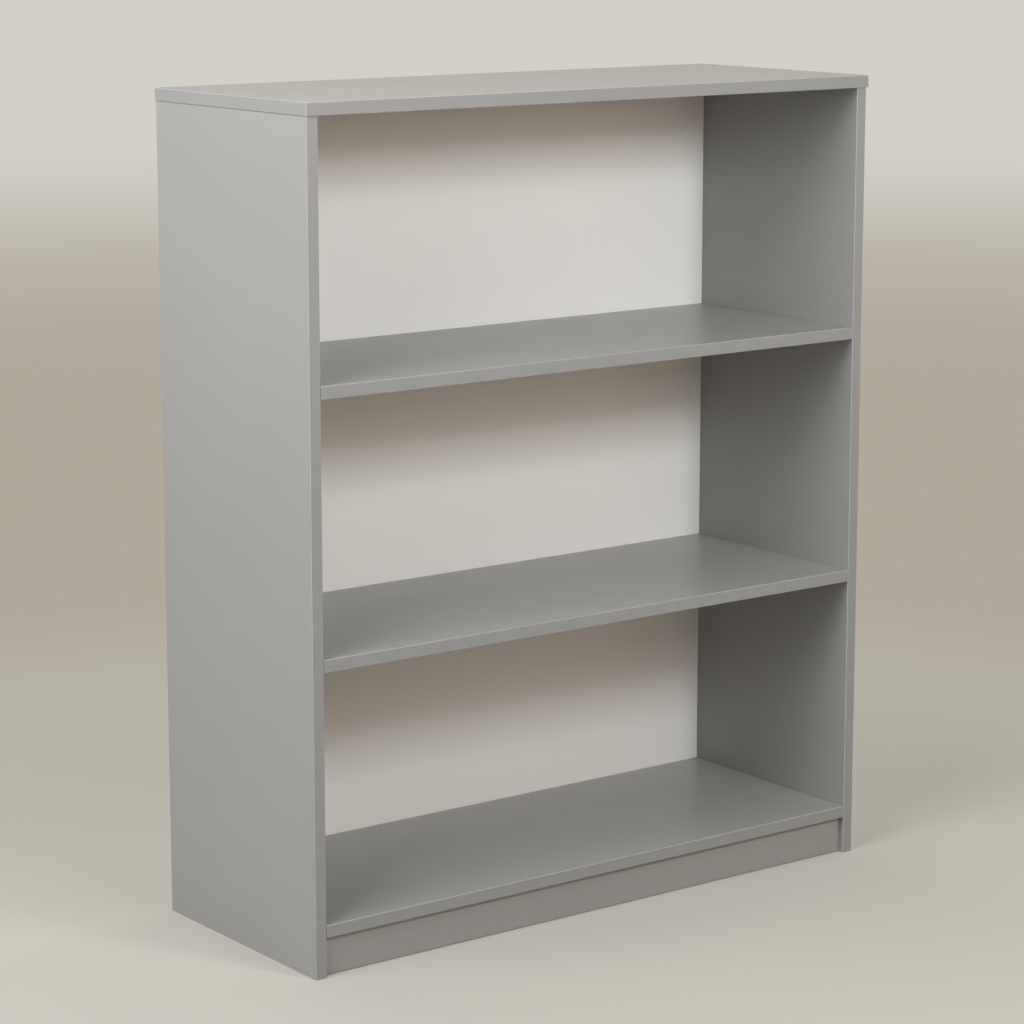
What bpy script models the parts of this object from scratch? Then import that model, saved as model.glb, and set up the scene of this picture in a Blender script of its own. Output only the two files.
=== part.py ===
"""Open office bookcase, 1000 mm wide, 385 mm deep and 1200 mm high.

The carcass is melamine-faced chipboard: two sides that stand on the floor, a top
laid over them, three fixed shelves and a plinth set back under the lowest one,
all dowelled and glued. A hardboard back slides in grooves in the sides and the
top and is pinned to the rear of the shelves. Each board edge that shows carries
a plastic edging strip with rounded arrises.

Frame, in metres: the origin is on the floor under the middle of the overall box,
+Z is up, +X is to the right seen from the front, and the open front faces -Y.
"""
import math

import bmesh
import bpy
from mathutils import Matrix, Vector

# Overall size, measured over the top and its edging.
OVERALL_W = 1.000
OVERALL_D = 0.385
OVERALL_H = 1.200

# Boards, and how far the top stands past the carcass.
BOARD_T = 0.018
TOP_OVERHANG_SIDE = 0.002
TOP_OVERHANG_FRONT = 0.003

# Edging strips, glued to the board edges that show.
EDGING_T = 0.002
EDGING_ROUND = 0.0016
EDGING_ROUND_STEPS = 3
EDGING_ROUND_MOST = 0.9       # share of the strip's thickness that its rounding may take

# Shelves and plinth.
BASE_H = 0.075                # floor to the upper face of the bottom shelf
COMPARTMENT_H = 0.356         # clear height of each of the two lower compartments
PLINTH_SETBACK = 0.010        # plinth's face behind the front of the carcass
PLINTH_FLOOR_GAP = 0.001

# Back panel and its grooves.
BACK_T = 0.003
BACK_SETBACK = 0.027          # rear of the sides to the rear face of the back
GROOVE_DEPTH = 0.007
GROOVE_END_ROOM = 0.001       # left between the back's edge and the groove's floor

# Dowels and their blind bores.
DOWEL_D = 0.008
DOWEL_L = 0.030
DOWEL_IN_FACE = 0.011         # length that stands in the face of the board it meets
DOWEL_CHAMFER = 0.0008
DOWEL_FLUTES = 8
FLUTE_DEPTH = 0.0003
BORE_END_ROOM = 0.001
BORE_SIDES = 16
DOWEL_MARGIN = 0.050          # first and last dowel of a row from the board's ends
DOWEL_TO_GROOVE = 0.020       # last dowel of a top row ahead of the groove for the back
SHELF_DOWELS = 3
TOP_DOWELS = 3
PLINTH_END_DOWELS = 2
PLINTH_END_MARGIN = 0.014
PLINTH_TOP_DOWELS = 3
PLINTH_TOP_MARGIN = 0.150

# Pins that hold the back to the rear edges of the shelves.
PIN_D = 0.0016
PIN_L = 0.020
PIN_HEAD_D = 0.0038
PIN_HEAD_T = 0.0007
PIN_CROWN = 0.6               # flat crown of the head, as a share of its diameter
PIN_POINT_L = 0.002
PIN_SIDES = 8
PINS_PER_SHELF = 4
PIN_MARGIN = 0.060

# Space kept between two pieces that touch: a glue line or a push fit.
FIT_GAP = 0.0003

# How far a groove's or a bore's cutter stands out of the board it cuts.
CUT_OVERRUN = 0.009

# Edges that turn more sharply than this, in degrees, stay crisp in the shading.
ROUND_CREASE = 50
FLUTE_CREASE = 30

ARC_PROFILE = 0.5             # bevel profile that makes an arc
MERGE_WITHIN = 0.00001        # closer points of a turned profile become one

# Finishes: base colour, roughness, metallic.
GREY_MELAMINE = ((0.36, 0.36, 0.34, 1.0), 0.50, 0.0)
GREY_EDGING = ((0.37, 0.37, 0.35, 1.0), 0.42, 0.0)
WHITE_HARDBOARD = ((0.68, 0.67, 0.64, 1.0), 0.55, 0.0)
BEECH = ((0.62, 0.42, 0.24, 1.0), 0.65, 0.0)
STEEL = ((0.55, 0.55, 0.55, 1.0), 0.35, 1.0)

# Planes that several pieces share.
front_y = -OVERALL_D / 2
rear_y = OVERALL_D / 2
carcass_front_y = front_y + TOP_OVERHANG_FRONT
carcass_half_w = OVERALL_W / 2 - TOP_OVERHANG_SIDE
inner_half_w = carcass_half_w - BOARD_T
edging_depth = EDGING_T + FIT_GAP
top_under_z = OVERALL_H - BOARD_T
side_top_z = top_under_z - FIT_GAP
back_rear_y = rear_y - BACK_SETBACK
back_front_y = back_rear_y - BACK_T
shelf_rear_y = back_front_y - FIT_GAP
back_entry = GROOVE_DEPTH - GROOVE_END_ROOM

SHELF_TOPS = {
    "bottom_shelf": BASE_H,
    "lower_shelf": BASE_H + COMPARTMENT_H + BOARD_T,
    "upper_shelf": BASE_H + 2 * (COMPARTMENT_H + BOARD_T),
}
SIDES = {"left": -1, "right": 1}


def new_collection(name):
    """A collection linked to the scene."""
    collection = bpy.data.collections.new(name)
    bpy.context.scene.collection.children.link(collection)
    return collection


def finish(name, values):
    """A Principled material for one piece."""
    colour, roughness, metallic = values
    material = bpy.data.materials.new(name + " finish")
    material.use_nodes = True
    shader = material.node_tree.nodes["Principled BSDF"]
    shader.inputs["Base Color"].default_value = colour
    shader.inputs["Roughness"].default_value = roughness
    shader.inputs["Metallic"].default_value = metallic
    material.diffuse_color = colour
    return material


def new_mesh(name, bm, values=None):
    """A mesh made from a bmesh, with a finish where it is a piece."""
    mesh = bpy.data.meshes.new(name)
    bm.to_mesh(mesh)
    bm.free()
    if values:
        mesh.materials.append(finish(name, values))
    return mesh


def shade_round(mesh, crease):
    """Smooth shading, with the edges that turn by more than the crease kept crisp."""
    mesh.shade_smooth()
    mesh.set_sharp_from_angle(angle=math.radians(crease))


def place_piece(name, mesh, location):
    """Puts a named piece of the bookcase at its location."""
    piece = bpy.data.objects.new(name, mesh)
    piece.location = location
    piece.parent = stand
    parts.objects.link(piece)
    return piece


def box(low, high):
    """A closed box between two corners, as a bmesh about its centre, and the centre."""
    low, high = Vector(low), Vector(high)
    bm = bmesh.new()
    bmesh.ops.create_cube(bm, size=1.0)
    bmesh.ops.scale(bm, vec=high - low, verts=bm.verts)
    return bm, (low + high) / 2


def board(name, low, high, values=GREY_MELAMINE):
    """A flat board between two corners."""
    bm, centre = box(low, high)
    return place_piece(name, new_mesh(name, bm, values), centre)


def edging(name, low, high, outward, ends_show=False):
    """An edging strip with its outer arrises rounded, at its ends only where they show."""
    bm, centre = box(low, high)
    outward = Vector(outward)
    face = max(bm.faces, key=lambda f: f.normal.dot(outward))
    longest = max(edge.calc_length() for edge in face.edges)
    rounded = [e for e in face.edges if ends_show or e.calc_length() > longest / 2]
    bmesh.ops.bevel(
        bm,
        geom=rounded,
        offset=min(EDGING_ROUND, EDGING_ROUND_MOST * EDGING_T),
        segments=EDGING_ROUND_STEPS,
        profile=ARC_PROFILE,
        affect="EDGES",
    )
    mesh = new_mesh(name, bm, GREY_EDGING)
    shade_round(mesh, ROUND_CREASE)
    return place_piece(name, mesh, centre)


def spread(start, end, count):
    """Evenly spaced places from start to end, both included."""
    if count == 1:
        return [(start + end) / 2]
    return [start + (end - start) * i / (count - 1) for i in range(count)]


def cut_box(target, low, high):
    """Adds a box to what is cut out of the target board."""
    bm, centre = box(low, high)
    bmesh.ops.translate(bm, vec=centre, verts=bm.verts)
    cuts.setdefault(target, []).append(new_mesh("cut", bm))


def cut_bore(target, mouth, direction, depth, radius, sides):
    """Adds a round blind bore, whose flats clear the radius, to the target board's cuts."""
    direction = Vector(direction).normalized()
    flat_radius = radius / math.cos(math.pi / sides)
    bm = bmesh.new()
    bmesh.ops.create_cone(
        bm,
        cap_ends=True,
        segments=sides,
        radius1=flat_radius,
        radius2=flat_radius,
        depth=depth + CUT_OVERRUN,
    )
    turn = Vector((0, 0, 1)).rotation_difference(direction).to_matrix().to_4x4()
    middle = Vector(mouth) + direction * (depth - CUT_OVERRUN) / 2
    bmesh.ops.transform(bm, matrix=Matrix.Translation(middle) @ turn, verts=bm.verts)
    cuts.setdefault(target, []).append(new_mesh("cut", bm))


def make_cuts():
    """Gives each board one cutter that holds all its grooves and bores."""
    for target, meshes in cuts.items():
        bm = bmesh.new()
        for mesh in meshes:
            bm.from_mesh(mesh)
            bpy.data.meshes.remove(mesh)
        name = target + "_cutter"
        cutter = bpy.data.objects.new(name, new_mesh(name, bm))
        cutter.hide_render = True
        cutter.display_type = "WIRE"
        cutters.objects.link(cutter)
        boolean = bpy.data.objects[target].modifiers.new("bores and grooves", "BOOLEAN")
        boolean.operation = "DIFFERENCE"
        boolean.solver = "EXACT"
        boolean.object = cutter


def fluted_dowel():
    """A beech dowel along Z about its middle: straight flutes and chamfered ends."""
    bm = bmesh.new()
    bmesh.ops.create_cone(
        bm,
        cap_ends=True,
        segments=2 * DOWEL_FLUTES,
        radius1=DOWEL_D / 2,
        radius2=DOWEL_D / 2,
        depth=DOWEL_L,
    )
    flute_scale = 1 - FLUTE_DEPTH / (DOWEL_D / 2)
    for vertex in bm.verts:
        turn = math.atan2(vertex.co.y, vertex.co.x) / (math.pi / DOWEL_FLUTES)
        if round(turn) % 2:
            vertex.co.x *= flute_scale
            vertex.co.y *= flute_scale
    end_edges = [e for e in bm.edges if abs(e.verts[0].co.z - e.verts[1].co.z) < DOWEL_L / 2]
    bmesh.ops.bevel(
        bm, geom=end_edges, offset=DOWEL_CHAMFER, segments=1, profile=ARC_PROFILE, affect="EDGES"
    )
    mesh = new_mesh("dowel", bm, BEECH)
    shade_round(mesh, FLUTE_CREASE)
    return mesh


def turned_pin():
    """A round-headed pin with its head's seat at Z = 0 and its point down."""
    point_z = -PIN_L + PIN_HEAD_T
    outline = [
        (0.0, PIN_HEAD_T),
        (PIN_CROWN * PIN_HEAD_D / 2, PIN_HEAD_T),
        (PIN_HEAD_D / 2, PIN_HEAD_T / 2),
        (PIN_HEAD_D / 2, 0.0),
        (PIN_D / 2, 0.0),
        (PIN_D / 2, point_z + PIN_POINT_L),
        (0.0, point_z),
    ]
    profile = bpy.data.meshes.new("pin profile")
    profile.from_pydata(
        [(x, 0.0, z) for x, z in outline],
        [(i, i + 1) for i in range(len(outline) - 1)],
        [],
    )
    pattern = bpy.data.objects.new("pin profile", profile)
    cutters.objects.link(pattern)
    screw = pattern.modifiers.new("turn", "SCREW")
    screw.axis = "Z"
    screw.steps = PIN_SIDES
    screw.render_steps = PIN_SIDES
    screw.use_merge_vertices = True
    screw.merge_threshold = MERGE_WITHIN
    evaluated = pattern.evaluated_get(bpy.context.evaluated_depsgraph_get())
    mesh = bpy.data.meshes.new_from_object(evaluated)
    bpy.data.objects.remove(pattern)
    bpy.data.meshes.remove(profile)
    mesh.name = "pin"
    mesh.materials.append(finish("pin", STEEL))
    shade_round(mesh, ROUND_CREASE)
    return mesh


def place_row(name, mesh, places, direction):
    """Like fasteners of one joint, numbered, each with its own Z along the direction."""
    turn = Vector((0, 0, 1)).rotation_difference(Vector(direction))
    for number, place in enumerate(places, 1):
        piece = place_piece(f"{name}_{number}", mesh, place)
        piece.rotation_euler = turn.to_euler()


def dowel_joint(name, face_board, end_board, mouths, direction):
    """Dowels that stand in the face of one board and in the end of another.

    Each mouth is where a dowel crosses the joint, and the direction points from
    the end of the one board into the face of the other.
    """
    direction = Vector(direction)
    middle_offset = direction * (DOWEL_IN_FACE - DOWEL_L / 2)
    radius = DOWEL_D / 2 + FIT_GAP
    in_end = DOWEL_L - DOWEL_IN_FACE
    for mouth in mouths:
        mouth = Vector(mouth)
        cut_bore(face_board, mouth, direction, DOWEL_IN_FACE + BORE_END_ROOM, radius, BORE_SIDES)
        cut_bore(end_board, mouth, -direction, in_end + BORE_END_ROOM, radius, BORE_SIDES)
    places = [Vector(mouth) + middle_offset for mouth in mouths]
    place_row(name, dowel_mesh, places, direction)


def make_sides():
    """Two upright boards, grooved for the back, with an edging strip down the front."""
    for hand, sign in SIDES.items():
        name = hand + "_side"
        xs = sorted((sign * inner_half_w, sign * carcass_half_w))
        core_front = carcass_front_y + edging_depth
        board(name, (xs[0], core_front, 0.0), (xs[1], rear_y, side_top_z))
        edging(
            name + "_edging",
            (xs[0], carcass_front_y, 0.0),
            (xs[1], carcass_front_y + EDGING_T, side_top_z),
            (0, -1, 0),
        )
        mouth_x = sign * (inner_half_w - CUT_OVERRUN)
        floor_x = sign * (inner_half_w + GROOVE_DEPTH)
        groove_xs = sorted((mouth_x, floor_x))
        cut_box(
            name,
            (groove_xs[0], back_front_y - FIT_GAP, -CUT_OVERRUN),
            (groove_xs[1], back_rear_y + FIT_GAP, side_top_z + CUT_OVERRUN),
        )


def make_top():
    """The top, edged on the front and both ends, with a stopped groove underneath."""
    half_w = OVERALL_W / 2
    core_half_w = half_w - edging_depth
    core_front = front_y + edging_depth
    board("top", (-core_half_w, core_front, top_under_z), (core_half_w, rear_y, OVERALL_H))
    edging(
        "top_edging_front",
        (-half_w, front_y, top_under_z),
        (half_w, front_y + EDGING_T, OVERALL_H),
        (0, -1, 0),
        ends_show=True,
    )
    for hand, sign in SIDES.items():
        xs = sorted((sign * (half_w - EDGING_T), sign * half_w))
        edging(
            "top_edging_" + hand,
            (xs[0], core_front, top_under_z),
            (xs[1], rear_y, OVERALL_H),
            (sign, 0, 0),
        )
    groove_half_w = inner_half_w + GROOVE_DEPTH
    cut_box(
        "top",
        (-groove_half_w, back_front_y - FIT_GAP, top_under_z - CUT_OVERRUN),
        (groove_half_w, back_rear_y + FIT_GAP, top_under_z + GROOVE_DEPTH),
    )


def make_shelves():
    """Three fixed shelves between the sides, flush with their front, edged in front."""
    half_w = inner_half_w - FIT_GAP
    core_front = carcass_front_y + edging_depth
    for name, top_z in SHELF_TOPS.items():
        under_z = top_z - BOARD_T
        board(name, (-half_w, core_front, under_z), (half_w, shelf_rear_y, top_z))
        edging(
            name + "_edging",
            (-half_w, carcass_front_y, under_z),
            (half_w, carcass_front_y + EDGING_T, top_z),
            (0, -1, 0),
        )


def make_plinth():
    """The plinth under the bottom shelf, set back and just clear of the floor."""
    half_w = inner_half_w - FIT_GAP
    face_y = carcass_front_y + PLINTH_SETBACK
    plinth_top_z = BASE_H - BOARD_T - FIT_GAP
    board("plinth", (-half_w, face_y, PLINTH_FLOOR_GAP), (half_w, face_y + BOARD_T, plinth_top_z))


def make_back():
    """The hardboard back, in the grooves and down to the underside of the bottom shelf."""
    half_w = inner_half_w + back_entry
    board(
        "back_panel",
        (-half_w, back_front_y, BASE_H - BOARD_T),
        (half_w, back_rear_y, top_under_z + back_entry),
        WHITE_HARDBOARD,
    )


def join_top():
    """Dowels up from the ends of the sides into the underside of the top.

    They stand ahead of the back's groove, which runs through the tops of the sides.
    """
    ys = spread(carcass_front_y + DOWEL_MARGIN, shelf_rear_y - DOWEL_TO_GROOVE, TOP_DOWELS)
    for hand, sign in SIDES.items():
        x = sign * (inner_half_w + BOARD_T / 2)
        mouths = [(x, y, top_under_z) for y in ys]
        dowel_joint("top_dowel_" + hand, "top", hand + "_side", mouths, (0, 0, 1))


def join_shelves():
    """Dowels out of the ends of each shelf into the inner faces of the sides."""
    ys = spread(carcass_front_y + DOWEL_MARGIN, shelf_rear_y - DOWEL_MARGIN, SHELF_DOWELS)
    for name, top_z in SHELF_TOPS.items():
        for hand, sign in SIDES.items():
            mouths = [(sign * inner_half_w, y, top_z - BOARD_T / 2) for y in ys]
            dowel_joint(name + "_dowel_" + hand, hand + "_side", name, mouths, (sign, 0, 0))


def join_plinth():
    """Dowels from the plinth into both sides and up into the bottom shelf."""
    y = carcass_front_y + PLINTH_SETBACK + BOARD_T / 2
    under_z = BASE_H - BOARD_T
    zs = spread(
        PLINTH_FLOOR_GAP + PLINTH_END_MARGIN, under_z - PLINTH_END_MARGIN, PLINTH_END_DOWELS
    )
    for hand, sign in SIDES.items():
        mouths = [(sign * inner_half_w, y, z) for z in zs]
        dowel_joint("plinth_dowel_" + hand, hand + "_side", "plinth", mouths, (sign, 0, 0))
    reach = inner_half_w - PLINTH_TOP_MARGIN
    mouths = [(x, y, under_z) for x in spread(-reach, reach, PLINTH_TOP_DOWELS)]
    dowel_joint("plinth_dowel_top", "bottom_shelf", "plinth", mouths, (0, 0, 1))


def pin_back():
    """Rows of pins through the back into the rear edge of each shelf."""
    reach = inner_half_w - PIN_MARGIN
    head_seat_y = back_rear_y + FIT_GAP
    hole_depth = PIN_L - PIN_HEAD_T + BORE_END_ROOM
    for name, top_z in SHELF_TOPS.items():
        z = top_z - BOARD_T / 2
        places = [(x, head_seat_y, z) for x in spread(-reach, reach, PINS_PER_SHELF)]
        for place in places:
            for target in ("back_panel", name):
                cut_bore(target, place, (0, -1, 0), hole_depth, PIN_D / 2 + FIT_GAP, PIN_SIDES)
        place_row("back_pin_" + name, pin_mesh, places, (0, 1, 0))


for old in list(bpy.data.objects):
    bpy.data.objects.remove(old)

parts = new_collection("bookcase")
cutters = new_collection("bookcase cutters")
cuts = {}
stand = bpy.data.objects.new("bookcase", None)
parts.objects.link(stand)

make_sides()
make_top()
make_shelves()
make_plinth()
make_back()

dowel_mesh = fluted_dowel()
join_top()
join_shelves()
join_plinth()

pin_mesh = turned_pin()
pin_back()

make_cuts()
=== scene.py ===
import math

import bmesh
import bpy
from mathutils import Matrix, Vector


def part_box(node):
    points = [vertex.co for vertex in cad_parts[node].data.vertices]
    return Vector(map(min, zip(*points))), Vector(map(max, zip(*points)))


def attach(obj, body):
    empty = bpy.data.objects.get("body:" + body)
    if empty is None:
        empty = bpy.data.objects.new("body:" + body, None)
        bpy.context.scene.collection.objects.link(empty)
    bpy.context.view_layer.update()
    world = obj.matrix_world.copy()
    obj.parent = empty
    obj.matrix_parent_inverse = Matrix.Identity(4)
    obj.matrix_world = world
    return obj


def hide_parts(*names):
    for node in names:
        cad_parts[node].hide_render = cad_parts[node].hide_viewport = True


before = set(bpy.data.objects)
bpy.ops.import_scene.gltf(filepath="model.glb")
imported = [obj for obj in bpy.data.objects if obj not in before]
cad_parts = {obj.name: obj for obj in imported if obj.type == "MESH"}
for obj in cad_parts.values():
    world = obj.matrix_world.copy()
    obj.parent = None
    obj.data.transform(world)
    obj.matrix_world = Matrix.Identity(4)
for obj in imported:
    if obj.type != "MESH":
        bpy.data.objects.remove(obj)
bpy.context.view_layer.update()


# Boards: the two sides, the top, the three shelves and the plinth. Each is 18 mm
# chipboard with a thin grey melamine skin pressed on both faces. Edges at the rear,
# underneath or in a joint stay as the saw leaves them, with bare chips between the skins.
SHELVES = ("upper_shelf", "lower_shelf", "bottom_shelf")
BOARDS = ("left_side", "right_side", "top", "plinth") + SHELVES
GREY = (0.350, 0.349, 0.338)
SKIN_T = 0.0002
SKIN_ROUGHNESS = (0.31, 0.37)
SKIN_GRAIN = 0.000012
CLOUDS_PER_M = 7.0
CLOUD_SHADES = (0.975, 1.025)
GRAINS_PER_M = 1100.0
GRAIN_SHADES = (0.985, 1.015)
HANDLING_PER_M = 16.0
CHIP_DARK = (0.150, 0.092, 0.048)
CHIP_PALE = (0.560, 0.420, 0.270)
CHIP_ROUGHNESS = 0.9
CHIP_RELIEF = 0.00035
CHIPS_ALONG = 240.0
CHIPS_THROUGH = 900.0
PITS_PER_M = 700.0
PIT_LEVEL = 0.55


def add(tree, kind, inputs=None, **settings):
    """A node with its settings, and its inputs as values or as sockets to link."""
    made = tree.nodes.new(kind)
    for key, value in settings.items():
        setattr(made, key, value)
    for key, value in (inputs or {}).items():
        if isinstance(value, bpy.types.NodeSocket):
            tree.links.new(value, made.inputs[key])
        else:
            made.inputs[key].default_value = value
    return made


def calc(tree, operation, *values):
    """The result of one sum on numbers or sockets, in a shader or a geometry tree."""
    return add(tree, "ShaderNodeMath", dict(enumerate(values)), operation=operation).outputs[0]


def between(tree, value, low, high):
    """A 0 to 1 value spread over a range."""
    inputs = {"Value": value, "To Min": low, "To Max": high}
    return add(tree, "ShaderNodeMapRange", inputs).outputs[0]


# A Mix node takes its numbers at sockets 2 and 3, and its colours at sockets 6 and 7.
def blend(tree, amount, first, second):
    """Two colours mixed by an amount."""
    pair = [(*c, 1.0) if isinstance(c, tuple) else c for c in (first, second)]
    inputs = {0: amount, 6: pair[0], 7: pair[1]}
    return add(tree, "ShaderNodeMix", inputs, data_type="RGBA").outputs[2]


def choose(tree, amount, first, second):
    """Two numbers mixed by an amount."""
    return add(tree, "ShaderNodeMix", {0: amount, 2: first, 3: second}).outputs[0]


def noise(tree, place, scale, detail=2.0):
    """Fractal noise with a number of features to the metre."""
    inputs = {"Vector": place, "Scale": scale, "Detail": detail}
    return add(tree, "ShaderNodeTexNoise", inputs).outputs["Fac"]


def shaded(tree, colour, amount):
    """A colour made lighter or darker by a factor."""
    grey = add(tree, "ShaderNodeCombineColor", {0: amount, 1: amount, 2: amount}).outputs[0]
    inputs = {0: 1.0, 6: (*colour, 1.0), 7: grey}
    return add(tree, "ShaderNodeMix", inputs, data_type="RGBA", blend_type="MULTIPLY").outputs[2]


def finish(name):
    """A new material: its tree, its Principled shader and the object's own coordinates."""
    material = bpy.data.materials.new(name)
    material.use_nodes = True
    tree = material.node_tree
    tree.nodes.clear()
    shader = add(tree, "ShaderNodeBsdfPrincipled")
    add(tree, "ShaderNodeOutputMaterial", {"Surface": shader.outputs[0]})
    place = add(tree, "ShaderNodeTexCoord").outputs["Object"]
    return material, tree, shader, place


def coat(tree, shader, colour, roughness, height):
    """Links colour, roughness and a relief in metres to a shader."""
    relief = add(tree, "ShaderNodeBump", {"Strength": 1.0, "Distance": 1.0, "Height": height})
    tree.links.new(colour, shader.inputs["Base Color"])
    tree.links.new(roughness, shader.inputs["Roughness"])
    tree.links.new(relief.outputs[0], shader.inputs["Normal"])


def satin(tree, place, colour, roughness):
    """Colour, roughness and relief of a satin grey skin with a fine pressed grain."""
    cloud = noise(tree, place, CLOUDS_PER_M, detail=3.0)
    grain = noise(tree, place, GRAINS_PER_M)
    handled = noise(tree, place, HANDLING_PER_M, detail=4.0)
    cloudy = between(tree, cloud, *CLOUD_SHADES)
    grainy = between(tree, grain, *GRAIN_SHADES)
    shade = calc(tree, "MULTIPLY", cloudy, grainy)
    height = calc(tree, "MULTIPLY", grain, SKIN_GRAIN)
    return shaded(tree, colour, shade), between(tree, handled, *roughness), height


def sawn_chips(tree, place, through):
    """Colour and relief of sawn chipboard, whose chips lie flat across one axis."""
    scale = Vector((CHIPS_ALONG,) * 3)
    scale[through] = CHIPS_THROUGH
    flat = add(tree, "ShaderNodeMapping", {"Vector": place, "Scale": scale}).outputs[0]
    cells = add(tree, "ShaderNodeTexVoronoi", {"Vector": flat, "Scale": 1.0}).outputs["Color"]
    pick = add(tree, "ShaderNodeSeparateColor", {0: cells}).outputs[0]
    pits = noise(tree, place, PITS_PER_M, detail=3.0)
    chip = blend(tree, pick, CHIP_DARK, CHIP_PALE)
    colour = blend(tree, between(tree, pits, PIT_LEVEL, 0.0), chip, CHIP_DARK)
    return colour, calc(tree, "MULTIPLY", calc(tree, "ADD", pick, pits), CHIP_RELIEF)


def faced_board(name):
    """Melamine skin near the two faces of a board, and bare chips in between."""
    low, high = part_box(name)
    sizes = high - low
    through = min(range(3), key=lambda axis: sizes[axis])
    middle = (low[through] + high[through]) / 2
    material, tree, shader, place = finish(name + " melamine board")
    across = add(tree, "ShaderNodeSeparateXYZ", {0: place}).outputs[through]
    depth = calc(tree, "ABSOLUTE", calc(tree, "SUBTRACT", across, middle))
    skin = calc(tree, "GREATER_THAN", depth, sizes[through] / 2 - SKIN_T)
    grey, roughness, grain = satin(tree, place, GREY, SKIN_ROUGHNESS)
    bare, splinters = sawn_chips(tree, place, through)
    colour = blend(tree, skin, bare, grey)
    rough = choose(tree, skin, CHIP_ROUGHNESS, roughness)
    coat(tree, shader, colour, rough, choose(tree, skin, splinters, grain))
    return material


def dress(piece, material):
    """Gives a piece its one material."""
    piece.data.materials.clear()
    piece.data.materials.append(material)


for name in BOARDS:
    dress(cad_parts[name], faced_board(name))


# Edging: a 2 mm plastic strip in nearly the same grey, glued to the boards' front edges and
# to both ends of the top and trimmed flush, with its two long arrises rounded. The strip on
# the front of the top also has rounded ends, because it laps over the ones on its ends.
EDGING_GREY = (0.312, 0.317, 0.313)
EDGING_ROUGHNESS = (0.33, 0.39)
# The paler grey painted along the rounded arrises, as a highlight.
ARRIS_HIGHLIGHT_GREY = (0.520, 0.520, 0.515)
ARRIS_ROUGHNESS = 0.16
ARRIS = 0.0009
ARRIS_STEPS = 6
GLUE_LINE = 0.00028
CREASE = math.radians(35)
MERGE = 0.000001
# Name of each point's share of the arris that is painted paler as a highlight.
PAINTED_HIGHLIGHT = "worn"
FRONT = Vector((0, -1, 0))
FACING = {"top_edging_left": Vector((-1, 0, 0)), "top_edging_right": Vector((1, 0, 0))}


def geometry_tree(name, inputs):
    """A geometry tree with named inputs, and its input node's sockets."""
    tree = bpy.data.node_groups.new(name, "GeometryNodeTree")
    tree.interface.new_socket("Geometry", in_out="INPUT", socket_type="NodeSocketGeometry")
    for label, kind in inputs.items():
        tree.interface.new_socket(label, in_out="INPUT", socket_type="NodeSocket" + kind)
    tree.interface.new_socket("Geometry", in_out="OUTPUT", socket_type="NodeSocketGeometry")
    return tree, tree.nodes.new("NodeGroupInput").outputs


def joined_xyz(tree, **parts):
    """A vector from its parts, as numbers or sockets."""
    inputs = {"XYZ".index(axis.upper()): value for axis, value in parts.items()}
    return add(tree, "ShaderNodeCombineXYZ", inputs).outputs[0]


def position(tree):
    """The X, Y and Z of each point."""
    spot = add(tree, "GeometryNodeInputPosition").outputs[0]
    return add(tree, "ShaderNodeSeparateXYZ", {0: spot}).outputs


def moved(tree, shape, place):
    """A mesh or curve with its points put in new places."""
    return add(tree, "GeometryNodeSetPosition", {"Geometry": shape, "Position": place}).outputs[0]


def upright_line(tree, rows, row_z):
    """A line along Z with a number of points, each at its own height."""
    line = add(tree, "GeometryNodeCurvePrimitiveLine", {"End": (0.0, 0.0, 1.0)}).outputs[0]
    inputs = {"Curve": line, "Count": rows}
    line = add(tree, "GeometryNodeResampleCurve", inputs, mode="COUNT").outputs[0]
    return moved(tree, line, joined_xyz(tree, z=row_z))


def hand_over(tree, shape, material):
    """Ends a geometry tree with real geometry in its material."""
    real = add(tree, "GeometryNodeRealizeInstances", {0: shape}).outputs[0]
    made = add(tree, "GeometryNodeSetMaterial", {"Geometry": real, "Material": material})
    add(tree, "NodeGroupOutput", {0: made.outputs[0]})


def round_share(tree, distance, limit, radius):
    """How far a point lies into a rounding: 0 on the flat and 1 at its outer limit."""
    past = calc(tree, "SUBTRACT", distance, calc(tree, "SUBTRACT", limit, radius))
    return calc(tree, "MAXIMUM", calc(tree, "DIVIDE", past, radius), 0.0)


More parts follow.
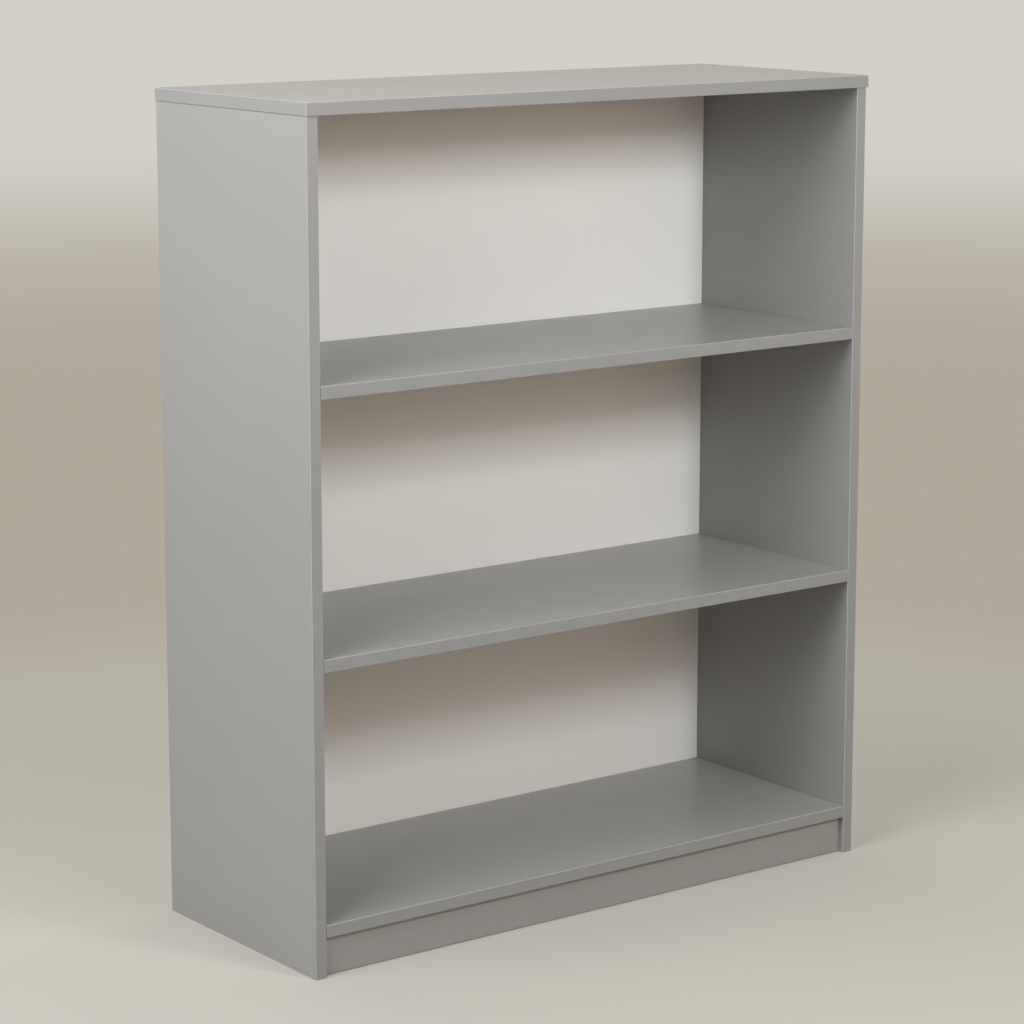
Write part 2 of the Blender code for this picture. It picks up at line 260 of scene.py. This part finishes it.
def strip_tree():
    """A strip along Z that faces +Y: a rounded section swept from end to end."""
    inputs = {
        "Length": "Float",
        "Width": "Float",
        "Thickness": "Float",
        "Arris": "Float",
        "End arris": "Float",
        "Arris steps": "Int",
        "Turn": "Rotation",
        "Place": "Vector",
        "Material": "Material",
    }
    tree, size = geometry_tree("edging strip", inputs)
    half_length = calc(tree, "DIVIDE", size["Length"], 2.0)
    half_depth = calc(tree, "DIVIDE", size["Thickness"], 2.0)

    inputs = {"Width": size["Width"], "Height": size["Thickness"]}
    section = add(tree, "GeometryNodeCurvePrimitiveQuadrilateral", inputs).outputs[0]
    outer = calc(tree, "GREATER_THAN", position(tree)[1], 0.0)
    radius = calc(tree, "MULTIPLY", outer, size["Arris"])
    inputs = {"Curve": section, "Count": size["Arris steps"], "Radius": radius}
    section = add(tree, "GeometryNodeFilletCurve", inputs, mode="POLY").outputs[0]

    # An end has one row more than its arc has steps. On a square end they fall together.
    rows_per_end = calc(tree, "ADD", size["Arris steps"], 1.0)
    rows = calc(tree, "MULTIPLY", rows_per_end, 2.0)
    index = add(tree, "GeometryNodeInputIndex").outputs[0]
    past_middle = calc(tree, "GREATER_THAN", calc(tree, "ADD", index, 0.5), rows_per_end)
    from_far_end = calc(tree, "SUBTRACT", calc(tree, "SUBTRACT", rows, 1.0), index)
    step = calc(tree, "MINIMUM", index, from_far_end)
    turn = calc(tree, "MULTIPLY", calc(tree, "DIVIDE", step, size["Arris steps"]), math.pi / 2)
    drop = calc(tree, "SUBTRACT", 1.0, calc(tree, "COSINE", turn))
    inset = calc(tree, "MULTIPLY", drop, size["End arris"])
    reach = calc(tree, "SUBTRACT", half_length, inset)
    far_or_near = calc(tree, "SUBTRACT", calc(tree, "MULTIPLY", past_middle, 2.0), 1.0)
    line = upright_line(tree, rows, calc(tree, "MULTIPLY", reach, far_or_near))
    inputs = {"Curve": line, "Profile Curve": section, "Fill Caps": True}
    strip = add(tree, "GeometryNodeCurveToMesh", inputs).outputs[0]

    # The face drops towards each rounded end by the same arc.
    at = position(tree)
    from_middle = calc(tree, "ABSOLUTE", at[2])
    round_start = calc(tree, "SUBTRACT", half_length, size["End arris"])
    past = calc(tree, "MAXIMUM", calc(tree, "SUBTRACT", from_middle, round_start), 0.0)
    radius_squared = calc(tree, "MULTIPLY", size["End arris"], size["End arris"])
    past_squared = calc(tree, "MULTIPLY", past, past)
    rise_squared = calc(tree, "SUBTRACT", radius_squared, past_squared)
    rise = calc(tree, "SQRT", calc(tree, "MAXIMUM", rise_squared, 0.0))
    shoulder = calc(tree, "SUBTRACT", half_depth, size["End arris"])
    face = calc(tree, "MINIMUM", at[1], calc(tree, "ADD", shoulder, rise))
    strip = moved(tree, strip, joined_xyz(tree, x=at[0], y=face, z=at[2]))
    inputs = {"Geometry": strip, "Distance": MERGE}
    strip = add(tree, "GeometryNodeMergeByDistance", inputs).outputs[0]

    half_width = calc(tree, "DIVIDE", size["Width"], 2.0)
    beside = round_share(tree, calc(tree, "ABSOLUTE", at[0]), half_width, size["Arris"])
    beyond = round_share(tree, from_middle, half_length, size["End arris"])
    outward = round_share(tree, at[1], half_depth, size["Arris"])
    inmost = calc(tree, "MINIMUM", outward, calc(tree, "MAXIMUM", beside, beyond))
    # Halfway round an arris both shares are 1 / sqrt(2): the painted highlight is fullest there.
    worn = calc(tree, "MULTIPLY", inmost, math.sqrt(2))
    inputs = {"Geometry": strip, "Name": PAINTED_HIGHLIGHT, "Value": worn}
    strip = add(tree, "GeometryNodeStoreNamedAttribute", inputs).outputs[0]
    inputs = {"Geometry": strip, "Translation": size["Place"], "Rotation": size["Turn"]}
    hand_over(tree, add(tree, "GeometryNodeTransform", inputs).outputs[0], size["Material"])
    return tree


def shaped_mesh(holder):
    """A plain mesh of an object as its modifiers leave it."""
    evaluated = holder.evaluated_get(bpy.context.evaluated_depsgraph_get())
    return bpy.data.meshes.new_from_object(evaluated)


def grown(name, steps, mesh=None):
    """A plain mesh object made by geometry trees, each with values for its named inputs."""
    host = bpy.data.objects.new(name, mesh or bpy.data.meshes.new(name))
    bpy.context.scene.collection.objects.link(host)
    for tree, values in steps:
        modifier = host.modifiers.new(tree.name, "NODES")
        modifier.node_group = tree
        for socket in tree.interface.items_tree:
            if socket.in_out == "INPUT" and socket.name in values:
                modifier[socket.identifier] = values[socket.name]
    made = shaped_mesh(host)
    # A mesh that starts without a material gets an empty slot before the one set.
    if made.materials[0] is None:
        made.materials.pop(index=0)
    bpy.data.objects.remove(host)
    piece = bpy.data.objects.new(name, made)
    bpy.context.scene.collection.objects.link(piece)
    return piece


def soften(piece):
    """Smooth shading on the round arrises, beside faces that still shade flat."""
    mesh = piece.data
    mesh.shade_smooth()
    mesh.set_sharp_from_angle(angle=CREASE)
    piece.modifiers.new("flat faces", "WEIGHTED_NORMAL").keep_sharp = True
    piece.data = shaped_mesh(piece)
    piece.modifiers.clear()


def edging_finish():
    """Satin plastic, its round arrises more polished and painted paler as a highlight."""
    material, tree, shader, place = finish("grey edging")
    grey, roughness, height = satin(tree, place, EDGING_GREY, EDGING_ROUGHNESS)
    # The arrises get a paler grey as a painted highlight, and a lower roughness.
    worn = add(tree, "ShaderNodeAttribute", attribute_name=PAINTED_HIGHLIGHT).outputs["Fac"]
    colour = blend(tree, worn, grey, ARRIS_HIGHLIGHT_GREY)
    coat(tree, shader, colour, choose(tree, worn, roughness, ARRIS_ROUGHNESS), height)
    return material


edging_strip = strip_tree()
edging_grey = edging_finish()
for name in [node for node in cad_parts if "_edging" in node]:
    facing = FACING.get(name, FRONT)
    low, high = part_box(name)
    # The strip reaches back over the glue line, towards its board.
    for axis in range(3):
        low[axis] -= GLUE_LINE * max(facing[axis], 0.0)
        high[axis] += GLUE_LINE * max(-facing[axis], 0.0)
    sizes = high - low
    along = Vector([float(size == max(sizes)) for size in sizes])
    across = facing.cross(along)
    values = {
        "Length": abs(sizes.dot(along)),
        "Width": abs(sizes.dot(across)),
        "Thickness": abs(sizes.dot(facing)),
        "Arris": ARRIS,
        "End arris": ARRIS if name == "top_edging_front" else 0.0,
        "Arris steps": ARRIS_STEPS,
        "Turn": Matrix((across, facing, along)).transposed().to_euler(),
        "Place": (low + high) / 2,
        "Material": edging_grey,
    }
    strip = grown(name + "_strip", [(edging_strip, values)])
    soften(strip)
    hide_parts(name)
    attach(strip, "root")


# Back: a 3 mm hardboard panel, lacquered white on the inside and plain brown behind,
# where the press leaves the print of its wire screen. Its upright edges and its upper edge
# stand in grooves in the sides and the top, and pins hold it to the shelves.
WHITE = (0.915, 0.912, 0.893)
WHITE_SHADES = (0.985, 1.015)
LACQUER_ROUGHNESS = 0.50
LACQUER_RIPPLE = 0.000015
RIPPLES_PER_M = 420.0
BROWN = (0.205, 0.118, 0.062)
BROWN_PALE = (0.330, 0.205, 0.118)
BROWN_ROUGHNESS = 0.85
FIBRES_PER_M = 260.0
SCREEN_PITCH = 0.0022
SCREEN_PRINT = 0.00012


def back_finish():
    """White lacquer ahead of the panel's middle, brown fibres and the screen's print behind."""
    low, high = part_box("back_panel")
    material, tree, shader, place = finish("hardboard back")
    at = add(tree, "ShaderNodeSeparateXYZ", {0: place}).outputs
    inside = calc(tree, "LESS_THAN", at[1], (low.y + high.y) / 2)
    cloud = noise(tree, place, CLOUDS_PER_M, detail=3.0)
    ripple = calc(tree, "MULTIPLY", noise(tree, place, RIPPLES_PER_M), LACQUER_RIPPLE)
    white = shaded(tree, WHITE, between(tree, cloud, *WHITE_SHADES))
    fibres = noise(tree, place, FIBRES_PER_M, detail=5.0)
    brown = blend(tree, fibres, BROWN, BROWN_PALE)
    waves = []
    for axis in (0, 2):
        angle = calc(tree, "MULTIPLY", at[axis], 2 * math.pi / SCREEN_PITCH)
        waves.append(calc(tree, "SINE", angle))
    screen = calc(tree, "MULTIPLY", calc(tree, "MULTIPLY", *waves), SCREEN_PRINT)
    colour = blend(tree, inside, brown, white)
    rough = choose(tree, inside, BROWN_ROUGHNESS, LACQUER_ROUGHNESS)
    coat(tree, shader, colour, rough, choose(tree, inside, screen, ripple))
    return material


dress(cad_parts["back_panel"], back_finish())


# Dowels: fluted beech pegs, 8 mm thick and 30 mm long, with chamfered ends. They are glued
# into blind bores in rows: from the sides up into the top, from the ends of the shelves
# and the plinth into the sides, and from the plinth up into the bottom shelf.
DOWEL_ROWS = ["top_dowel_left", "top_dowel_right", "plinth_dowel_left", "plinth_dowel_right"]
DOWEL_ROWS += ["plinth_dowel_top"]
DOWEL_ROWS += [f"{shelf}_dowel_{hand}" for shelf in SHELVES for hand in ("left", "right")]
FLUTES = 20
FLUTE_DEPTH = 0.00025
DOWEL_CHAMFER = 0.0009
BEECH = (0.560, 0.375, 0.215)
BEECH_DARK = (0.430, 0.262, 0.135)
FLECKS_ALONG = 60.0
FLECKS_ACROSS = 1400.0
FLECK_RELIEF = 0.00004
BEECH_ROUGHNESS = (0.72, 0.58)


def dowel_tree():
    """A fluted peg along Z about its middle."""
    inputs = {
        "Diameter": "Float",
        "Length": "Float",
        "Flutes": "Int",
        "Flute depth": "Float",
        "Chamfer": "Float",
    }
    tree, size = geometry_tree("fluted dowel", inputs)
    radius = calc(tree, "DIVIDE", size["Diameter"], 2.0)
    half_length = calc(tree, "DIVIDE", size["Length"], 2.0)
    inputs = {"Resolution": calc(tree, "MULTIPLY", size["Flutes"], 2.0), "Radius": radius}
    section = add(tree, "GeometryNodeCurvePrimitiveCircle", inputs).outputs[0]
    index = add(tree, "GeometryNodeInputIndex").outputs[0]
    every_other = calc(tree, "MODULO", index, 2.0)
    sunk = calc(tree, "MULTIPLY", every_other, calc(tree, "DIVIDE", size["Flute depth"], radius))
    spot = add(tree, "GeometryNodeInputPosition").outputs[0]
    inputs = {0: spot, "Scale": calc(tree, "SUBTRACT", 1.0, sunk)}
    fluted = add(tree, "ShaderNodeVectorMath", inputs, operation="SCALE").outputs[0]
    section = moved(tree, section, fluted)

    # Four rings make the peg: its two ends, and the shoulder of the chamfer at each.
    rings = 4
    from_middle = calc(tree, "SUBTRACT", index, (rings - 1) / 2)
    inner = calc(tree, "LESS_THAN", calc(tree, "ABSOLUTE", from_middle), 1.0)
    reach = calc(tree, "SUBTRACT", half_length, calc(tree, "MULTIPLY", inner, size["Chamfer"]))
    ring_z = calc(tree, "MULTIPLY", calc(tree, "SIGN", from_middle), reach)
    line = upright_line(tree, rings, ring_z)
    drawn_in = calc(tree, "DIVIDE", size["Chamfer"], radius)
    end_scale = choose(tree, inner, calc(tree, "SUBTRACT", 1.0, drawn_in), 1.0)
    inputs = {"Curve": line, "Profile Curve": section, "Scale": end_scale, "Fill Caps": True}
    peg = add(tree, "GeometryNodeCurveToMesh", inputs).outputs[0]
    add(tree, "NodeGroupOutput", {0: peg})
    return tree


def row_tree():
    """Copies of one fastener at even steps from a first place, all turned the same way."""
    inputs = {
        "Count": "Int",
        "First": "Vector",
        "Step": "Vector",
        "Turn": "Rotation",
        "Material": "Material",
    }
    tree, size = geometry_tree("fastener row", inputs)
    inputs = {"Count": size["Count"], "Start Location": size["First"], "Offset": size["Step"]}
    places = add(tree, "GeometryNodeMeshLine", inputs).outputs[0]
    inputs = {"Points": places, "Instance": size["Geometry"], "Rotation": size["Turn"]}
    copies = add(tree, "GeometryNodeInstanceOnPoints", inputs).outputs[0]
    hand_over(tree, copies, size["Material"])
    return tree


def beech_finish(axis):
    """Pale beech with fine flecks that run along one axis."""
    material, tree, shader, place = finish("beech along " + "XYZ"[axis])
    scale = Vector((FLECKS_ACROSS,) * 3)
    scale[axis] = FLECKS_ALONG
    stretched = add(tree, "ShaderNodeMapping", {"Vector": place, "Scale": scale}).outputs[0]
    flecks = noise(tree, stretched, 1.0, detail=3.0)
    height = calc(tree, "MULTIPLY", flecks, FLECK_RELIEF)
    colour = blend(tree, flecks, BEECH_DARK, BEECH)
    coat(tree, shader, colour, between(tree, flecks, *BEECH_ROUGHNESS), height)
    return material


def fastener_rows(nodes, direction):
    """Inputs of the row tree for like nodes whose own Z lies along a direction."""
    middles = [sum(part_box(node), Vector()) / 2 for node in nodes]
    turn = Vector((0, 0, 1)).rotation_difference(direction)
    return {
        "Count": len(nodes),
        "First": middles[0],
        "Step": middles[1] - middles[0],
        "Turn": turn.to_euler(),
    }


dowel = dowel_tree()
fastener_row = row_tree()
beech = [beech_finish(axis) for axis in range(3)]
for row in DOWEL_ROWS:
    nodes = sorted(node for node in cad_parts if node.startswith(row + "_"))
    low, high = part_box(nodes[0])
    sizes = high - low
    along = max(range(3), key=lambda axis: sizes[axis])
    shape = {
        "Diameter": min(sizes),
        "Length": max(sizes),
        "Flutes": FLUTES,
        "Flute depth": FLUTE_DEPTH,
        "Chamfer": DOWEL_CHAMFER,
    }
    direction = Vector([float(axis == along) for axis in range(3)])
    places = {**fastener_rows(nodes, direction), "Material": beech[along]}
    pegs = grown(row.replace("_dowel", "_dowels"), [(dowel, shape), (fastener_row, places)])
    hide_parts(*nodes)
    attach(pegs, "root")


# Back pins: short steel wire pins with round heads, driven through the hardboard into the
# rear edge of each shelf, four to a shelf. Only their heads show, from behind.
PIN_WIRE_R = 0.0008
PIN_HEAD_R = 0.0019
PIN_CROWN_R = 0.0011
PIN_HEAD_T = 0.0007
PIN_CROWN_DROP = PIN_HEAD_T / 6
PIN_RIM = PIN_HEAD_T / 3
PIN_POINT = 0.002
PIN_TURNS = 24
PIN_CREASE = math.radians(50)
STEEL = (0.560, 0.555, 0.545)
STEEL_DULL = (0.420, 0.415, 0.405)
STEEL_ROUGHNESS = (0.28, 0.46)
DRAWING_MARKS_PER_M = 1800.0
DRAWING_MARK = 0.000012


def turned_pin(length):
    """A pin along Z about its middle, turned from its outline, with its head up."""
    top, seat, tip = length / 2, length / 2 - PIN_HEAD_T, -length / 2
    outline = [
        (0.0, top),
        (PIN_CROWN_R, top - PIN_CROWN_DROP),
        (PIN_HEAD_R, seat + PIN_RIM),
        (PIN_HEAD_R, seat),
        (PIN_WIRE_R, seat),
        (PIN_WIRE_R, tip + PIN_POINT),
        (0.0, tip),
    ]
    corners = [(x, 0.0, z) for x, z in outline]
    lines = [(corner, corner + 1) for corner in range(len(corners) - 1)]
    profile = bpy.data.meshes.new("pin outline")
    profile.from_pydata(corners, lines, [])
    blank = bpy.data.objects.new("pin", profile)
    bpy.context.scene.collection.objects.link(blank)
    lathe = blank.modifiers.new("lathe", "SCREW")
    lathe.steps = PIN_TURNS
    lathe.render_steps = PIN_TURNS
    lathe.use_merge_vertices = True
    lathe.merge_threshold = MERGE
    mesh = shaped_mesh(blank)
    bpy.data.objects.remove(blank)
    mesh.shade_smooth()
    mesh.set_sharp_from_angle(angle=PIN_CREASE)
    return mesh


def steel_finish():
    """Bright drawn wire with faint marks."""
    material, tree, shader, place = finish("pin steel")
    shader.inputs["Metallic"].default_value = 1.0
    marks = noise(tree, place, DRAWING_MARKS_PER_M, detail=3.0)
    colour = blend(tree, marks, STEEL_DULL, STEEL)
    height = calc(tree, "MULTIPLY", marks, DRAWING_MARK)
    coat(tree, shader, colour, between(tree, marks, *STEEL_ROUGHNESS), height)
    return material


pin_steel = steel_finish()
for shelf in SHELVES:
    nodes = sorted(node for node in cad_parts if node.startswith(f"back_pin_{shelf}_"))
    low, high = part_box(nodes[0])
    places = {**fastener_rows(nodes, -FRONT), "Material": pin_steel}
    pins = grown(f"back_pins_{shelf}", [(fastener_row, places)], turned_pin(high.y - low.y))
    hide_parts(*nodes)
    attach(pins, "root")


# Floor and background: a plain pale floor that takes the shadow near the bookcase. Farther
# out it passes into a plain beige, and far off into the paler tone of the background.
FLOOR = (0.545, 0.530, 0.475)
FLOOR_BOUNCE = (0.385, 0.372, 0.335)
FLOOR_TONE = (0.530, 0.512, 0.452)
BEIGE = (0.437, 0.395, 0.326)
BACKGROUND = (0.645, 0.625, 0.570)
FLOOR_HALF = 60.0
NEAR_SHARE = 0.25
FADE_START = 0.85
FADE_END = 2.1
PALER_START = 5.0
PALER_END = 14.0
AMBIENT = (0.008, 0.0075, 0.007)


def seen_ray(tree):
    """1 for rays that show the background: from the camera, off a gloss or through glass."""
    path = add(tree, "ShaderNodeLightPath").outputs
    seen = calc(tree, "MAXIMUM", path["Is Camera Ray"], path["Is Glossy Ray"])
    return calc(tree, "MAXIMUM", seen, path["Is Transmission Ray"])


def smooth_rise(tree, value, start, end):
    """0 up to a start, 1 from an end, and an even curve between them."""
    inputs = {"Value": value, "From Min": start, "From Max": end}
    return add(tree, "ShaderNodeMapRange", inputs, interpolation_type="SMOOTHSTEP").outputs[0]


def under_bookcase(tree, place):
    """1 behind the plinth's face and below the boards, where no plain tone may brighten a gap."""
    front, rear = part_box("plinth")[0].y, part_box("left_side")[1].y
    at = add(tree, "ShaderNodeSeparateXYZ", {0: place}).outputs
    from_middle = calc(tree, "ABSOLUTE", calc(tree, "SUBTRACT", at[1], (front + rear) / 2))
    behind = calc(tree, "LESS_THAN", from_middle, (rear - front) / 2)
    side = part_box("right_side")[1].x
    between_sides = calc(tree, "LESS_THAN", calc(tree, "ABSOLUTE", at[0]), side)
    return calc(tree, "MULTIPLY", behind, between_sides)


def make_floor():
    """The floor as one wide face, with its shading from matt paint to background."""
    bm = bmesh.new()
    bmesh.ops.create_grid(bm, x_segments=1, y_segments=1, size=FLOOR_HALF)
    mesh = bpy.data.meshes.new("floor")
    bm.to_mesh(mesh)
    bm.free()
    floor = bpy.data.objects.new("floor", mesh)
    bpy.context.scene.collection.objects.link(floor)

    material = bpy.data.materials.new("floor")
    material.use_nodes = True
    tree = material.node_tree
    tree.nodes.clear()
    place = add(tree, "ShaderNodeTexCoord").outputs["Object"]
    away = add(tree, "ShaderNodeVectorMath", {0: place}, operation="LENGTH").outputs["Value"]
    # Bounced light meets only the matt paint. The plain tones show, also in a gloss.
    seen = seen_ray(tree)
    paint = blend(tree, seen, FLOOR_BOUNCE, FLOOR)
    matt = add(tree, "ShaderNodeBsdfDiffuse", {"Color": paint}).outputs[0]
    fade = smooth_rise(tree, away, FADE_START, FADE_END)
    paler = smooth_rise(tree, away, PALER_START, PALER_END)
    tone = blend(tree, paler, blend(tree, fade, FLOOR_TONE, BEIGE), BACKGROUND)
    plain = add(tree, "ShaderNodeEmission", {"Color": tone}).outputs[0]
    share = calc(tree, "MULTIPLY", choose(tree, fade, NEAR_SHARE, 1.0), seen)
    share = calc(tree, "MULTIPLY", share, calc(tree, "SUBTRACT", 1.0, under_bookcase(tree, place)))
    mixed = add(tree, "ShaderNodeMixShader", {0: share, 1: matt, 2: plain}).outputs[0]
    add(tree, "ShaderNodeOutputMaterial", {"Surface": mixed})
    dress(floor, material)


def make_world():
    """Faint warm light from all round, and a plain background for the rays that show it."""
    world = bpy.data.worlds.new("studio")
    world.use_nodes = True
    tree = world.node_tree
    tree.nodes.clear()
    colour = blend(tree, seen_ray(tree), AMBIENT, BACKGROUND)
    sky = add(tree, "ShaderNodeBackground", {"Color": colour, "Strength": 1.0}).outputs[0]
    add(tree, "ShaderNodeOutputWorld", {"Surface": sky})
    bpy.context.scene.world = world


make_floor()
make_world()


# Lamps: soft boxes round the bookcase, each aimed at its middle. Two stand in front and
# above the top, over two weak warm ones, and two to the left. Three more reach the top,
# the right side and the rear. None of them shows in the picture.
AIM_AT = Vector((0.0, 0.0, 0.6))
# Each lamp's place, the side of its square, its power in watts and its colour.
LAMPS = {
    "front soft box": ((0.0, -2.6, 1.9), 1.0, 14.0, (0.95, 0.98, 1.0)),
    "front small box": ((0.45, -2.4, 1.9), 0.5, 25.0, (0.93, 0.98, 1.0)),
    "middle warm box": ((0.45, -2.8, 1.3), 1.0, 5.8, (1.0, 0.66, 0.45)),
    "low warm box": ((1.2, -3.4, 0.9), 2.0, 7.8, (1.0, 0.70, 0.45)),
    "left soft box": ((-2.86, 0.25, 2.6), 2.4, 43.5, (0.97, 1.0, 0.97)),
    "near left soft box": ((-2.4, -0.8, 2.2), 1.6, 60.0, (0.99, 0.97, 1.0)),
    "overhead soft box": ((0.8, 0.8, 2.6), 1.5, 10.8, (1.0, 0.85, 0.76)),
    "right soft box": ((3.4, 0.3, 1.3), 2.0, 46.0, (1.0, 0.97, 0.935)),
    "rear soft box": ((-0.3, 3.4, 1.5), 2.0, 38.0, (1.0, 0.98, 0.95)),
}


def add_lamp(name, place, side, power, colour):
    """A square soft box that faces the bookcase."""
    data = bpy.data.lights.new(name, "AREA")
    data.size = side
    data.energy = power
    data.color = colour
    lamp = bpy.data.objects.new(name, data)
    lamp.location = place
    lamp.rotation_euler = (AIM_AT - Vector(place)).to_track_quat("-Z", "Y").to_euler()
    lamp.visible_camera = False
    bpy.context.scene.collection.objects.link(lamp)


for name, (place, side, power, colour) in LAMPS.items():
    add_lamp(name, place, side, power, colour)


# Camera: a long lens at the photograph's angle, in front of the left corner and a little
# above the top. It looks down at the bookcase, with the frame moved down a touch.
CAMERA_AT = Vector((-2.790, -3.6885, 1.482))
CAMERA_AZIMUTH = math.radians(36.909)
CAMERA_DOWN = math.radians(10.444)
LENS_MM = 112.07
SHIFT_DOWN = 0.041


def make_camera():
    """The scene's camera, looking down by an angle and turned from +Y towards +X."""
    data = bpy.data.cameras.new("camera")
    data.lens = LENS_MM
    data.shift_y = -SHIFT_DOWN
    camera = bpy.data.objects.new("camera", data)
    camera.location = CAMERA_AT
    camera.rotation_euler = (math.pi / 2 - CAMERA_DOWN, 0.0, -CAMERA_AZIMUTH)
    bpy.context.scene.collection.objects.link(camera)
    bpy.context.scene.camera = camera


make_camera()
bpy.context.scene.view_settings.view_transform = "Standard"
